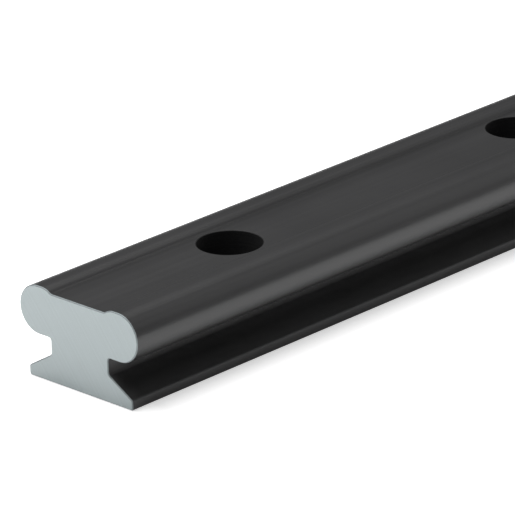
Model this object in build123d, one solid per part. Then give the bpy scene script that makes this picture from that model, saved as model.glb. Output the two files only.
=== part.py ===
from build123d import *
from math import asin, degrees
import os

# A length of miniature guide rail for a plain-bearing carriage, cut from extruded aluminium.
# The section is a double-round rail: two round runners joined by a flat web, on a narrow neck
# that widens into a flared foot. Screw holes with counterbores for the screw heads are drilled
# down through the web and the neck at an even pitch.
# Millimetres. X runs along the rail, Y across it, Z up. The origin is the middle of the flat
# underside, so the rail stands on Z = 0.

# Stock length and screw holes
rail_length = 200.0
hole_pitch = 40.0
first_hole = 19.5  # from the cut end at low X to the centre of the first hole
screw_hole_diameter = 3.5  # clearance for an M3 screw
counterbore_diameter = 6.2  # room for a socket head 5.5 mm across
counterbore_depth = 3.5  # sinks a head 3 mm high half a millimetre under the web

# Runners: the two round bars that the carriage slides on
runner_diameter = 4.7
runner_spacing = 10.3  # from centre to centre
rail_height = 9.0  # from the underside to the crown of the runners

# Web, neck and foot
web_drop = 0.4  # how far the flat of the web lies under the crowns
neck_width = 7.3
foot_width = 13.2
foot_edge_height = 0.95
flare_height = 2.7  # where the flare of the foot meets the neck

# Radii left by the die, and edges broken after sawing and drilling
web_radius = 0.6  # between the web and each runner
neck_top_radius = 0.3
neck_foot_radius = 0.4
foot_edge_radius = 0.2
end_chamfer = 0.1
rim_chamfer = 0.1

# Places that follow from the sizes above
runner_radius = runner_diameter / 2
runner_y = runner_spacing / 2
runner_z = rail_height - runner_radius
underside_of_web = runner_z - runner_radius
web_top = rail_height - web_drop
neck_y = neck_width / 2
foot_y = foot_width / 2
web_angle = degrees(asin((web_top - runner_z) / runner_radius))
least_far_end = counterbore_diameter  # least metal from the last hole to the far cut
hole_count = int((rail_length - first_hole - least_far_end) // hole_pitch) + 1


def hole_places():
    """The centre of each screw hole, on the flat of the web."""
    first_x = first_hole - rail_length / 2
    return [(first_x + i * hole_pitch, 0, web_top) for i in range(hole_count)]


def corners(sketch, y, z):
    """The two mirrored corners of the section at this distance from its middle and height."""
    return [v for v in sketch.vertices() if abs(abs(v.X) - y) < 1e-6 and abs(v.Y - z) < 1e-6]


def rail_section():
    """The section that the die gives the rail, as a face across the rail's length."""
    with BuildSketch(Plane.YZ.offset(-rail_length / 2)) as section:
        with BuildLine():
            Polyline(
                (0, 0),
                (foot_y, 0),
                (foot_y, foot_edge_height),
                (neck_y, flare_height),
                (neck_y, underside_of_web),
                (runner_y, underside_of_web),
            )
            # From the lowest point of the runner, round its outer side and up to the web
            runner = CenterArc((runner_y, runner_z), runner_radius, -90, 270 - web_angle)
            Line(runner @ 1, (0, web_top))
            mirror(about=Plane.YZ)
        make_face()
        web_y = (runner @ 1).X
        fillet(corners(section, web_y, web_top), web_radius)
        fillet(corners(section, neck_y, underside_of_web), neck_top_radius)
        fillet(corners(section, neck_y, flare_height), neck_foot_radius)
        fillet(corners(section, foot_y, foot_edge_height), foot_edge_radius)
        fillet(corners(section, foot_y, 0), foot_edge_radius)
    return section.sketch


def drilled_rail():
    """The rail, extruded, drilled, sawn to length and with its cut edges broken."""
    with BuildPart() as rail:
        extrude(rail_section(), amount=rail_length, dir=(1, 0, 0))
        with Locations(*hole_places()):
            CounterBoreHole(
                radius=screw_hole_diameter / 2,
                counter_bore_radius=counterbore_diameter / 2,
                counter_bore_depth=counterbore_depth,
            )
        cut_ends = rail.faces().filter_by(Axis.X).sort_by(Axis.X)
        chamfer(cut_ends[0].edges() + cut_ends[-1].edges(), end_chamfer)
        rims = rail.edges().filter_by(GeomType.CIRCLE).filter_by(
            lambda rim: abs(rim.arc_center.Y) < 1e-6
            and (abs(rim.arc_center.Z - web_top) < 1e-6 or abs(rim.arc_center.Z) < 1e-6)
        )
        chamfer(rims, rim_chamfer)
    return rail.part


os.makedirs("parts", exist_ok=True)
export_step(drilled_rail(), "parts/rail.step")
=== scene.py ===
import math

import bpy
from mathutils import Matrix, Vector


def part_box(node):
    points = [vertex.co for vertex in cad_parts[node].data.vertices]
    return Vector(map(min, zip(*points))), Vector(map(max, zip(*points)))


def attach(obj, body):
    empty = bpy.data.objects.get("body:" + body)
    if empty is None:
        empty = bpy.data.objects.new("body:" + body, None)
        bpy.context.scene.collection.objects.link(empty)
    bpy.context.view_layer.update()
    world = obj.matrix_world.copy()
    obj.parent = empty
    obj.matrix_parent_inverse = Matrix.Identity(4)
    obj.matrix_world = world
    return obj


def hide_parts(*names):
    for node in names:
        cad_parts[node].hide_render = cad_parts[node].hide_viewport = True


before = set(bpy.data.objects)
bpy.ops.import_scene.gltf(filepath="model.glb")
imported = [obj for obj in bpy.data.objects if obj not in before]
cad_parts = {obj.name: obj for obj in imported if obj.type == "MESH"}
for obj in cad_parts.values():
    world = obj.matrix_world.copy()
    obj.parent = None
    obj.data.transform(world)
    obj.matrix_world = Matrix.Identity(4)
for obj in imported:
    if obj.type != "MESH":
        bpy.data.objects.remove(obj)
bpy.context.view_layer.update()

# The looks of a miniature guide rail: an aluminium bar extruded with a double-round section, drilled
# with counterbored screw holes, hard anodised black, and then sawn to length, so that its cut ends
# are bare metal. X runs along the rail and Z is up; the rail stands on Z = 0.
# Blender's lengths are metres. The rail's own sizes below are millimetres, as on its drawing.

MM = 0.001

# Stock length and screw holes
rail_low, rail_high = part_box("rail")
rail_length = (rail_high.x - rail_low.x) / MM
hole_pitch = 40.0
first_hole = 19.5  # from the cut end at low X to the middle of the first hole
screw_hole_radius = 1.75
counterbore_radius = 3.1
counterbore_depth = 3.5
hole_count = int((rail_length - first_hole - 2 * counterbore_radius) // hole_pitch) + 1

# Section: two round runners on a web, over a neck and a flared foot
runner_radius = 2.35
runner_y = 5.15
runner_z = 6.65
web_top = 8.6
neck_y = 3.65
foot_y = 6.6
foot_edge_height = 0.95
flare_height = 2.7

# Radii left by the die, and edges broken after drilling and sawing
crown_flat = 0.55  # on top of each runner, from its middle towards the web
shoulder_radius = 1.9  # from the flat of the crown down to the web
web_radius = 0.6
neck_top_radius = 0.3
neck_foot_radius = 0.4
foot_edge_radius = 0.2
rim_radius = 0.1
end_round = 0.1
end_flat_turns = (30, 60)  # degrees that the narrow flats round a sawn end turn in from the sides

# How finely the round forms are cut, and the least distance and turn that count
runner_steps = 60
shoulder_steps = 16
web_radius_steps = 12
corner_steps = 6
hole_steps = 96
rim_steps = 4
hair = 0.001
sharp_turn = math.radians(35)

# The skin: darkest and lightest linear colour, smoothest and roughest, and the lines of the die
anodise_dark = (0.024, 0.024, 0.0245)
anodise_light = (0.034, 0.034, 0.0345)
anodise_rough = (0.31, 0.38)
anodise_ior = 1.75
die_line_height = 0.010
die_line_contrast = 2.6

# The inside of the holes, with its patches of dye and the rings of the drill
bore_dark = (0.018, 0.018, 0.0185)
bore_light = (0.030, 0.030, 0.0305)
bore_rough = (0.60, 0.75)
bore_ior = 1.45
bore_patches_per_m = 300.0
drill_ring_height = 0.015
drill_ring_contrast = 2.0
drill_rings_per_m = 7000.0
drill_ring_centre_z = 2.0  # on the hole's own axis, from which its rings are counted

# Bare metal on the sawn ends and on the filed edges round them, with the arcs of their tools
sawn_dark = (0.51, 0.565, 0.57)
sawn_light = (0.59, 0.65, 0.66)
sawn_rough = (0.45, 0.58)
saw_line_height = 0.012
saw_lines_per_m = 4500.0
filed_dark = (0.40, 0.44, 0.45)
filed_light = (0.47, 0.52, 0.53)
filed_rough = (0.70, 0.80)
file_line_height = 0.006
file_lines_per_m = 6000.0
bare_line_contrast = 1.1
bare_patches_per_m = 150.0
bare_grains_per_m = 7000.0
bare_grain_share = 0.4
blade_centre = (0, 95, -70)  # which the arcs of the saw and of the file run round

# All finishes: the sum of marks and patches that gives the darkest and the lightest, and their relief
tone_span = (0.6, 1.4)
relief_strength = 0.4

# Painted shade that darkens one inside corner of the web, and the rougher skin in the corners over the
# foot
painted_corner_shade = (0.006, 0.006, 0.0062)
painted_shade_share = 0.85
painted_shade_y = 3.5
painted_shade_reach = 0.9
foot_corner_z = 2.75
foot_corner_reach = 1.5
foot_corner_rough = 0.40

# Studio: the floor, and how much it glows right beside the rail and far from it; the weaker glow beside
# the rail is a painted shadow
floor_radius = 4000.0
floor_steps = 64
floor_drop = 0.01  # keeps the floor from lying in the same plane as the rail's underside
floor_white = 0.85
camera_glow = (0.58, 1.00)  # as the camera sees it
mirror_glow = (0.05, 0.48)  # as the rail reflects it
half_glow_distance = 22.0
studio_grey = (0.10, 0.10, 0.102)

# How far apart the nodes of a material are laid out in Blender's editor
node_spacing = 200


def metres(*sizes):
    """These sizes in millimetres, as metres."""
    return tuple(size * MM for size in sizes)


def select_only(piece):
    """Makes this piece the active one, and the only one selected."""
    bpy.ops.object.select_all(action="DESELECT")
    piece.select_set(True)
    bpy.context.view_layer.objects.active = piece


def start_outline(name, x, y, z):
    """A new piece of one point, left in edit mode, from which an outline is drawn."""
    bpy.ops.object.select_all(action="DESELECT")
    bpy.ops.mesh.primitive_plane_add(size=MM, location=(0, 0, 0))
    piece = bpy.context.object
    piece.name = name
    bpy.ops.object.mode_set(mode="EDIT")
    bpy.ops.mesh.select_mode(type="VERT")
    bpy.ops.mesh.select_all(action="SELECT")
    bpy.ops.mesh.merge(type="CENTER")
    bpy.ops.transform.translate(value=metres(x, y, z))
    return piece


def draw_line(y, z):
    """Draws the outline on from its end by this much."""
    bpy.ops.mesh.extrude_region_move(TRANSFORM_OT_translate={"value": metres(0, y, z)})


def draw_arc(x, y, z, turn, steps):
    """Draws the outline on round this centre by these degrees, from +Y towards +Z if positive."""
    bpy.ops.mesh.spin(
        steps=steps,
        angle=-math.radians(turn),
        center=metres(x, y, z),
        axis=(1, 0, 0),
        use_auto_merge=False,
    )


def pick(piece, kind, test):
    """Selects the vertices or polygons that pass the test, and leaves the piece in edit mode."""
    bpy.ops.object.mode_set(mode="OBJECT")
    bpy.context.tool_settings.mesh_select_mode = (kind == "vertices", False, kind == "polygons")
    for parts in (piece.data.vertices, piece.data.edges, piece.data.polygons):
        parts.foreach_set("select", [False] * len(parts))
    for part in getattr(piece.data, kind):
        part.select = test(part)
    bpy.ops.object.mode_set(mode="EDIT")


def round_corner(piece, y, z, radius, turn):
    """Rounds the corner of the outline at this place, where the outline turns by this many degrees."""
    corner = Vector((y, z)) * MM
    pick(piece, "vertices", lambda point: (point.co.yz - corner).length < hair * MM)
    bpy.ops.mesh.bevel(
        offset=radius * math.tan(math.radians(turn) / 2) * MM,
        segments=corner_steps,
        affect="VERTICES",
        clamp_overlap=False,
    )


def draw_half_section(x):
    """Half of the section, drawn from the middle of the underside round to the middle of the web."""
    underside_of_web = runner_z - runner_radius
    section = start_outline("guide_rail", x, 0, 0)
    draw_line(foot_y, 0)
    draw_line(0, foot_edge_height)
    draw_line(neck_y - foot_y, flare_height - foot_edge_height)
    draw_line(0, underside_of_web - flare_height)
    draw_line(runner_y - neck_y, 0)
    # Round the outside of the runner, over its crown, and down the shoulder and the radius to the web
    shoulder_y = runner_y - crown_flat
    shoulder_z = runner_z + runner_radius - shoulder_radius
    rise = web_top + web_radius - shoulder_z
    run = math.sqrt((shoulder_radius + web_radius) ** 2 - rise ** 2)
    lean = math.degrees(math.atan2(run, rise))
    draw_arc(x, runner_y, runner_z, 180, runner_steps)
    draw_line(-crown_flat, 0)
    draw_arc(x, shoulder_y, shoulder_z, lean, shoulder_steps)
    draw_arc(x, shoulder_y - run, web_top + web_radius, -lean, web_radius_steps)
    draw_line(run - shoulder_y, 0)
    flare_turn = math.degrees(math.atan2(foot_y - neck_y, flare_height - foot_edge_height))
    round_corner(section, foot_y, 0, foot_edge_radius, 90)
    round_corner(section, foot_y, foot_edge_height, foot_edge_radius, flare_turn)
    round_corner(section, neck_y, flare_height, neck_foot_radius, flare_turn)
    round_corner(section, neck_y, underside_of_web, neck_top_radius, 90)
    bpy.ops.object.mode_set(mode="OBJECT")
    return section


def round_sawn_edges(rail, cut_x):
    """Draws both ends out to the full length in narrow flats, each turned in more than the last."""
    turns = [math.radians(turn) for turn in end_flat_turns]
    flat = end_round / sum(math.sin(turn) for turn in turns)
    for turn in turns:
        pick(
            rail, "polygons",
            lambda face: abs(face.center.x) > (cut_x - hair) * MM and abs(face.normal.x) > 1 - hair,
        )
        bpy.ops.mesh.inset(
            thickness=flat * math.sin(turn) * MM,
            depth=flat * math.cos(turn) * MM,
            use_individual=True,
        )


def extrude_rail():
    """The rail without its holes: half a section mirrored, drawn out along X and rounded at its ends."""
    cut_x = rail_length / 2 - end_round
    rail = draw_half_section(-cut_x)
    other_side = rail.modifiers.new("other_side", "MIRROR")
    other_side.use_axis = (False, True, False)
    other_side.merge_threshold = hair * MM
    select_only(rail)
    bpy.ops.object.modifier_apply(modifier=other_side.name)
    bpy.ops.object.mode_set(mode="EDIT")
    bpy.ops.mesh.select_all(action="SELECT")
    bpy.ops.mesh.remove_doubles(threshold=hair * MM)
    # Take out the two points where the halves meet, in the middle of a straight line
    pick(rail, "vertices", lambda point: abs(point.co.y) < hair * MM)
    bpy.ops.mesh.dissolve_verts()
    bpy.ops.mesh.select_all(action="SELECT")
    bpy.ops.mesh.edge_face_add()
    bpy.ops.mesh.extrude_region_move(TRANSFORM_OT_translate={"value": metres(2 * cut_x, 0, 0)})
    bpy.ops.mesh.select_all(action="SELECT")
    bpy.ops.mesh.normals_make_consistent(inside=False)
    round_sawn_edges(rail, cut_x)
    bpy.ops.object.mode_set(mode="OBJECT")
    return rail


def turn_cutter(x):
    """A solid of what the drill and the counterbore take out, turned about an upright axis at this X."""
    overshoot = 2.0
    seat = web_top - counterbore_depth
    cutter = start_outline("cutter", x, 0, -overshoot)
    draw_line(screw_hole_radius + rim_radius, 0)
    draw_line(0, overshoot)
    draw_arc(x, screw_hole_radius + rim_radius, rim_radius, -90, rim_steps)
    draw_line(0, seat - rim_radius)
    draw_line(counterbore_radius - screw_hole_radius, 0)
    draw_line(0, counterbore_depth - rim_radius)
    draw_arc(x, counterbore_radius + rim_radius, web_top - rim_radius, -90, rim_steps)
    draw_line(0, overshoot)
    draw_line(-counterbore_radius - rim_radius, 0)
    bpy.ops.mesh.select_all(action="SELECT")
    bpy.ops.mesh.spin(
        steps=hole_steps,
        angle=math.radians(360),
        center=metres(x, 0, 0),
        axis=(0, 0, 1),
        use_auto_merge=False,
    )
    bpy.ops.mesh.select_all(action="SELECT")
    bpy.ops.mesh.remove_doubles(threshold=hair * MM)
    bpy.ops.mesh.normals_make_consistent(inside=False)
    bpy.ops.object.mode_set(mode="OBJECT")
    return cutter


def drill_holes(rail):
    """Cuts the screw holes with one cutter, copied from pitch to pitch."""
    cutter = turn_cutter(first_hole - rail_length / 2)
    cutters = [cutter]
    select_only(cutter)
    for _ in range(hole_count - 1):
        bpy.ops.object.duplicate(linked=False)
        bpy.ops.transform.translate(value=metres(hole_pitch, 0, 0))
        cutters.append(bpy.context.object)
    for copy in cutters:
        copy.select_set(True)
    bpy.context.view_layer.objects.active = cutter
    bpy.ops.object.join()
    screw_holes = rail.modifiers.new("screw_holes", "BOOLEAN")
    screw_holes.object = cutter
    screw_holes.operation = "DIFFERENCE"
    screw_holes.solver = "EXACT"
    select_only(rail)
    bpy.ops.object.modifier_apply(modifier=screw_holes.name)
    bpy.data.objects.remove(cutter)
    # Merge the points that the cut leaves less than a hair apart
    bpy.ops.object.mode_set(mode="EDIT")
    bpy.ops.mesh.select_all(action="SELECT")
    bpy.ops.mesh.remove_doubles(threshold=hair * MM)
    bpy.ops.object.mode_set(mode="OBJECT")


def make_rail():
    """The rail's finished form, shaded smooth over its rounds and flat on its flats."""
    rail = extrude_rail()
    drill_holes(rail)
    select_only(rail)
    bpy.ops.object.shade_smooth_by_angle(angle=sharp_turn)
    flat_shading = rail.modifiers.new("flat_shading", "WEIGHTED_NORMAL")
    flat_shading.keep_sharp = True
    bpy.ops.object.modifier_apply(modifier=flat_shading.name)
    return rail


def add_node(tree, kind, settings, inputs):
    """Adds a node to the right of the last one, with its settings and its inputs' values or links."""
    node = tree.nodes.new(kind)
    node.location = (node_spacing * len(tree.nodes), 0)
    for name, value in settings.items():
        setattr(node, name, value)
    for socket, value in inputs.items():
        if isinstance(value, bpy.types.NodeSocket):
            tree.links.new(value, node.inputs[socket])
        else:
            node.inputs[socket].default_value = value
    return node


def number(tree, operation, *values):
    """The result of a Math node."""
    return add_node(tree, "ShaderNodeMath", {"operation": operation}, dict(enumerate(values))).outputs[0]


def vector(tree, operation, *values):
    """The result of a Vector Math node, which is a number for a length."""
    node = add_node(tree, "ShaderNodeVectorMath", {"operation": operation}, dict(enumerate(values)))
    return node.outputs["Value" if operation == "LENGTH" else "Vector"]


def spread(tree, value, old, new, kind="LINEAR"):
    """Takes a number from the old range to the new one, and keeps it there."""
    ends = {"Value": value, "From Min": old[0], "From Max": old[1], "To Min": new[0], "To Max": new[1]}
    return add_node(tree, "ShaderNodeMapRange", {"interpolation_type": kind}, ends).outputs["Result"]


def blend(tree, mask, first, second):
    """The colour between these two that the mask calls for."""
    # A Mix node takes colours at its sockets 6 and 7, and gives one at 2
    ends = {0: mask, 6: first, 7: second}
    return add_node(tree, "ShaderNodeMix", {"data_type": "RGBA"}, ends).outputs[2]


def mix(tree, share, first, second):
    """The number between these two at this share."""
    # A Mix node takes numbers at its sockets 2 and 3, and gives one at 0
    ends = {0: share, 2: first, 3: second}
    return add_node(tree, "ShaderNodeMix", {"data_type": "FLOAT"}, ends).outputs[0]


def noise(tree, scale, detail, **inputs):
    """A noise in three dimensions, or in one where W is given."""
    settings = {"noise_dimensions": "1D" if "W" in inputs else "3D"}
    inputs = {"Scale": scale, "Detail": detail, "Roughness": 0.6, **inputs}
    return add_node(tree, "ShaderNodeTexNoise", settings, inputs).outputs["Fac"]


def start_group(name, **inputs):
    """A node group that turns these inputs into a mask, with the sockets inside it."""
    group = bpy.data.node_groups.new(name, "ShaderNodeTree")
    for label, value in inputs.items():
        kind = "NodeSocketVector" if isinstance(value, tuple) else "NodeSocketFloat"
        socket = group.interface.new_socket(label, in_out="INPUT", socket_type=kind)
        socket.default_value = value
    group.interface.new_socket("Mask", in_out="OUTPUT", socket_type="NodeSocketFloat")
    given = add_node(group, "NodeGroupInput", {}, {}).outputs
    return group, given


def end_group(group, mask):
    """Gives the group's mask to its output."""
    add_node(group, "NodeGroupOutput", {}, {"Mask": mask})
    return group


def sharpen(group, mask, contrast):
    """Spreads a mask about its middle."""
    middle = 0.5
    return number(group, "MULTIPLY_ADD", number(group, "SUBTRACT", mask, middle), contrast, middle)


def make_die_lines():
    """Straight lines that the die draws along the rail: wide soft ones with fine ones over them."""
    group, given = start_group(
        "die_lines",
        Vector=(0.0, 0.0, 0.0),
        Wide=(4.0, 900.0, 900.0),
        Fine=(9.0, 4200.0, 4200.0),
        Fine_share=0.35,
        Contrast=1.0,
    )
    stretched_wide = vector(group, "MULTIPLY", given["Vector"], given["Wide"])
    wide = noise(group, scale=1.0, detail=4.0, Vector=stretched_wide)
    stretched_fine = vector(group, "MULTIPLY", given["Vector"], given["Fine"])
    fine = noise(group, scale=1.0, detail=4.0, Vector=stretched_fine)
    lines = mix(group, given["Fine_share"], wide, fine)
    return end_group(group, sharpen(group, lines, given["Contrast"]))


def make_tool_arcs():
    """Arcs that a turning tool leaves round its centre; Across is 0 along the tool's own axis."""
    group, given = start_group(
        "tool_arcs",
        Vector=(0.0, 0.0, 0.0),
        Centre=(0.0, 0.0, 0.0),
        Across=(1.0, 1.0, 1.0),
        Arcs_per_m=3000.0,
        Contrast=1.0,
    )
    offset = vector(group, "SUBTRACT", given["Vector"], given["Centre"])
    radius = vector(group, "LENGTH", vector(group, "MULTIPLY", offset, given["Across"]))
    arcs = noise(group, scale=1.0, detail=3.0, W=number(group, "MULTIPLY", radius, given["Arcs_per_m"]))
    return end_group(group, sharpen(group, arcs, given["Contrast"]))


def make_blotches():
    """Uneven patches of dye or oxide, with a fine grain over them."""
    group, given = start_group(
        "blotches",
        Vector=(0.0, 0.0, 0.0),
        Patches_per_m=90.0,
        Grains_per_m=9000.0,
        Grain_share=0.35,
    )
    patches = noise(group, given["Patches_per_m"], detail=3.0, Vector=given["Vector"])
    grains = noise(group, given["Grains_per_m"], detail=2.0, Vector=given["Vector"])
    return end_group(group, mix(group, given["Grain_share"], patches, grains))


def make_corner_mask():
    """How near a point lies to an inside corner that runs along the rail."""
    group, given = start_group(
        "inside_corner",
        Vector=(0.0, 0.0, 0.0),
        Corner=(0.0, 0.0, 0.0),
        Reach=0.001,
    )
    offset = vector(group, "SUBTRACT", given["Vector"], given["Corner"])
    away = vector(group, "LENGTH", vector(group, "MULTIPLY", offset, (0, 1, 1)))
    return end_group(group, spread(group, away, (given["Reach"], 0.0), (0.0, 1.0), "SMOOTHSTEP"))


def place_group(tree, group, **inputs):
    """Places a group in a material with its own values, and gives its mask."""
    return add_node(tree, "ShaderNodeGroup", {"node_tree": group}, inputs).outputs["Mask"]


def start_finish(name):
    """A new material, with its node tree, its shader and the rail's own coordinates."""
    finish = bpy.data.materials.new(name)
    finish.use_nodes = True
    tree = finish.node_tree
    place = add_node(tree, "ShaderNodeTexCoord", {}, {}).outputs["Object"]
    return finish, tree, tree.nodes["Principled BSDF"], place


def work_surface(tree, shader, marks, blotches, colours, rough, mark_height):
    """Takes colour, roughness and relief from the tool marks and blotches; gives the first two."""
    both = number(tree, "ADD", marks, blotches)
    tone = spread(tree, both, tone_span, (0.0, 1.0))
    colour = blend(tree, tone, (*colours[0], 1), (*colours[1], 1))
    roughness = spread(tree, tone, (0.0, 1.0), rough)
    relief = add_node(
        tree, "ShaderNodeBump", {},
        {"Strength": relief_strength, "Distance": mark_height * MM, "Height": both},
    )
    tree.links.new(colour, shader.inputs["Base Color"])
    tree.links.new(roughness, shader.inputs["Roughness"])
    tree.links.new(relief.outputs["Normal"], shader.inputs["Normal"])
    return colour, roughness


def make_black_anodise(die_lines, blotches, corner_mask):
    """The rail's skin: satin black oxide, through which the lines of the die show."""
    finish, tree, shader, place = start_finish("black_hard_anodise")
    marks = place_group(tree, die_lines, Vector=place, Contrast=die_line_contrast)
    clouds = place_group(tree, blotches, Vector=place)
    colour, roughness = work_surface(
        tree, shader, marks, clouds, (anodise_dark, anodise_light), anodise_rough, die_line_height
    )
    # Painted shade: the base colour is darkened along one inside corner of the web, where shade falls
    web_corner = metres(0, painted_shade_y, web_top)
    shaded_corner = place_group(tree, corner_mask, Vector=place, Corner=web_corner, Reach=painted_shade_reach * MM)
    painted_shade_colour = blend(tree, number(tree, "MULTIPLY", shaded_corner, painted_shade_share), colour, (*painted_corner_shade, 1))
    tree.links.new(painted_shade_colour, shader.inputs["Base Color"])
    # The skin comes out rougher over the foot, on both sides of the neck
    either_side = vector(tree, "ABSOLUTE", place)
    foot_corner = metres(0, neck_y, foot_corner_z)
    near_foot = place_group(
        tree, corner_mask, Vector=either_side, Corner=foot_corner, Reach=foot_corner_reach * MM
    )
    rougher = number(tree, "MULTIPLY_ADD", near_foot, foot_corner_rough, roughness)
    tree.links.new(rougher, shader.inputs["Roughness"])
    shader.inputs["IOR"].default_value = anodise_ior
    return finish


def make_anodised_bore(tool_arcs, blotches):
    """The inside of the screw holes: dull black oxide over the rings of the drill."""
    finish, tree, shader, place = start_finish("anodised_bore")
    # The coordinates start again from the middle of each hole
    first_middle = metres(first_hole - rail_length / 2, 0, 0)
    half_pitch = hole_pitch / 2 * MM
    from_first = vector(tree, "SUBTRACT", place, first_middle)
    from_own = vector(tree, "WRAP", from_first, (half_pitch, 1, 1), (-half_pitch, -1, -1))
    marks = place_group(
        tree, tool_arcs,
        Vector=from_own, Centre=metres(0, 0, drill_ring_centre_z),
        Arcs_per_m=drill_rings_per_m, Contrast=drill_ring_contrast,
    )
    clouds = place_group(tree, blotches, Vector=place, Patches_per_m=bore_patches_per_m)
    work_surface(tree, shader, marks, clouds, (bore_dark, bore_light), bore_rough, drill_ring_height)
    shader.inputs["IOR"].default_value = bore_ior
    return finish


def make_bare_aluminium(name, tool_arcs, blotches, colours, rough, arcs_per_m, mark_height):
    """Bare aluminium, with the shallow arcs of the blade or the file that cut it."""
    finish, tree, shader, place = start_finish(name)
    marks = place_group(
        tree, tool_arcs,
        Vector=place, Centre=metres(*blade_centre), Across=(0, 1, 1),
        Arcs_per_m=arcs_per_m, Contrast=bare_line_contrast,
    )
    clouds = place_group(
        tree, blotches,
        Vector=place, Patches_per_m=bare_patches_per_m,
        Grains_per_m=bare_grains_per_m, Grain_share=bare_grain_share,
    )
    work_surface(tree, shader, marks, clouds, colours, rough, mark_height)
    shader.inputs["Metallic"].default_value = 1.0
    return finish


def put_on_finishes(rail):
    """Anodised skin and bores; bare metal on the sawn ends and filed edges, which were cut later."""
    die_lines = make_die_lines()
    tool_arcs = make_tool_arcs()
    blotches = make_blotches()
    corner_mask = make_corner_mask()
    rail.data.materials.clear()
    for finish in (
        make_black_anodise(die_lines, blotches, corner_mask),
        make_anodised_bore(tool_arcs, blotches),
        make_bare_aluminium(
            "sawn_end", tool_arcs, blotches, (sawn_dark, sawn_light), sawn_rough,
            saw_lines_per_m, saw_line_height,
        ),
        make_bare_aluminium(
            "filed_edge", tool_arcs, blotches, (filed_dark, filed_light), filed_rough,
            file_lines_per_m, file_line_height,
        ),
    ):
        rail.data.materials.append(finish)
    skin, bore, sawn, filed = range(len(rail.data.materials))
    for face in rail.data.polygons:
        x, y, z = face.center / MM
        from_end = rail_length / 2 - abs(x)
        from_hole = (x + rail_length / 2 - first_hole + hole_pitch / 2) % hole_pitch - hole_pitch / 2
        over_hole = math.hypot(from_hole, y) < counterbore_radius + rim_radius
        if from_end < hair:
            face.material_index = sawn
        elif from_end < end_round:
            face.material_index = filed
        elif over_hole and hair < z < web_top - hair:
            face.material_index = bore
        else:
            face.material_index = skin


def make_floor():
    """A wide pale floor that glows, so that the camera sees it as white but for the soft shadow, which
    is partly real and partly painted by its weaker glow beside the rail.
    """
    bpy.ops.object.select_all(action="DESELECT")
    bpy.ops.mesh.primitive_circle_add(
        vertices=floor_steps,
        radius=floor_radius * MM,
        fill_type="NGON",
        location=metres(0, 0, -floor_drop),
    )
    floor = bpy.context.object
    floor.name = "floor"
    paint = bpy.data.materials.new("floor_paint")
    paint.use_nodes = True
    tree = paint.node_tree
    tree.nodes.clear()
    place = add_node(tree, "ShaderNodeTexCoord", {}, {}).outputs["Object"]
    # The distance from the rail's foot, as a share that is a half at half_glow_distance. Both glows are
    # weaker near the rail: a painted soft shadow round it, on the floor and in the rail's reflections of
    # the floor
    foot_corner = metres(rail_length / 2, foot_y, 0)
    beside = vector(tree, "SUBTRACT", vector(tree, "ABSOLUTE", place), foot_corner)
    away = vector(tree, "LENGTH", vector(tree, "MAXIMUM", beside, (0, 0, 0)))
    share = number(tree, "DIVIDE", away, number(tree, "ADD", away, half_glow_distance * MM))
    path = add_node(tree, "ShaderNodeLightPath", {}, {}).outputs
    seen = number(tree, "MULTIPLY", spread(tree, share, (0.0, 1.0), camera_glow), path["Is Camera Ray"])
    mirrored = spread(tree, share, (0.0, 1.0), mirror_glow)
    strength = number(tree, "MULTIPLY_ADD", mirrored, path["Is Glossy Ray"], seen)
    glow = add_node(tree, "ShaderNodeEmission", {}, {"Strength": strength}).outputs[0]
    white = (floor_white, floor_white, floor_white, 1)
    matt = add_node(tree, "ShaderNodeBsdfDiffuse", {}, {"Color": white}).outputs[0]
    surface = add_node(tree, "ShaderNodeAddShader", {}, {0: matt, 1: glow}).outputs[0]
    add_node(tree, "ShaderNodeOutputMaterial", {}, {"Surface": surface})
    floor.data.materials.append(paint)


def make_softbox(name, place, aim, width, height, watts):
    """A soft lamp at this place, turned to face its aim, in metres."""
    bpy.ops.object.light_add(type="AREA", location=place)
    lamp = bpy.context.object
    lamp.name = name
    lamp.rotation_euler = (Vector(aim) - Vector(place)).to_track_quat("-Z", "Y").to_euler()
    lamp.data.shape = "RECTANGLE"
    lamp.data.size = width
    lamp.data.size_y = height
    lamp.data.energy = watts


def make_studio():
    """A dim grey room that the camera sees as white, with one lamp overhead and one to the side."""
    room = bpy.data.worlds.new("studio")
    room.use_nodes = True
    tree = room.node_tree
    path = add_node(tree, "ShaderNodeLightPath", {}, {}).outputs
    walls = blend(tree, path["Is Camera Ray"], (*studio_grey, 1), (1, 1, 1, 1))
    tree.links.new(walls, tree.nodes["Background"].inputs["Color"])
    bpy.context.scene.world = room
    make_softbox(
        "overhead_softbox",
        place=(-0.1, 0.17, 0.6), aim=(-0.1, 0, 0), width=0.6, height=0.5, watts=4.3,
    )
    make_softbox(
        "side_softbox",
        place=(0.706, -0.189, 0.29), aim=(0, 0, 0), width=0.9, height=0.75, watts=0.87,
    )


def make_camera():
    """The photograph's viewpoint: place in metres, turns in degrees, focal length in pixels."""
    place = (-0.3817138, -0.2995270, 0.1735552)
    heading = -45.4990
    tilt = 21.4053
    roll = -1.6891
    focal_pixels = 4977.27
    image_pixels = 515
    bpy.ops.object.camera_add(location=(0, 0, 0))
    camera = bpy.context.object
    camera.name = "camera"
    camera.matrix_world = (
        Matrix.Translation(place)
        @ Matrix.Rotation(math.radians(heading), 4, "Z")
        @ Matrix.Rotation(math.radians(90 - tilt), 4, "X")
        @ Matrix.Rotation(math.radians(roll), 4, "Z")
    )
    camera.data.sensor_width = 36
    camera.data.lens = camera.data.sensor_width * focal_pixels / image_pixels
    camera.data.clip_start = 0.01
    camera.data.clip_end = 20
    bpy.context.scene.camera = camera


make_camera()
rail = make_rail()
put_on_finishes(rail)
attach(rail, "root")
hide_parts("rail")
make_floor()
make_studio()
bpy.context.scene.view_settings.view_transform = "Standard"
